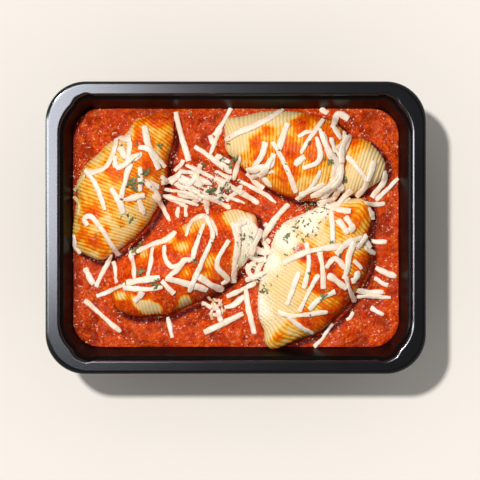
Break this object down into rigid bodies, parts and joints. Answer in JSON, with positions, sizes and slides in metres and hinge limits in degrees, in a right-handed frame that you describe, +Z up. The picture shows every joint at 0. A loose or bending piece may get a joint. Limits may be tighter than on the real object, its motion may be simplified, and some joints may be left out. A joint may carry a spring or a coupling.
{
  "type": "stuffed pasta shells in tomato sauce in a tray",
  "caption": "Ridged stuffed pasta shells in tomato sauce under grated cheese, in a shallow black oblong tray with a flat flange.",
  "frame": {"origin": "middle of the tray's flat underside, on the table", "axes": "+X along the tray's long side, +Y along its short side away from the viewer, +Z up"},
  "size_m": [0.165, 0.127, 0.038],
  "materials": {
    "tray_plastic": "satin black moulded plastic",
    "tomato_sauce": "wet, chunky tomato sauce",
    "cooked_pasta": "moist ridged pasta, partly glazed with sauce",
    "grated_cheese": "soft, faintly moist cheese"
  },
  "bodies": {
    "root": {"tray": "tray_plastic", "sauce": "tomato_sauce", "pasta_shell_upper_left": "cooked_pasta", "pasta_shell_upper_right": "cooked_pasta", "pasta_shell_lower_left": "cooked_pasta", "pasta_shell_lower_right": "cooked_pasta", "cheese_heap": "grated_cheese"}
  },
  "joints": []
}
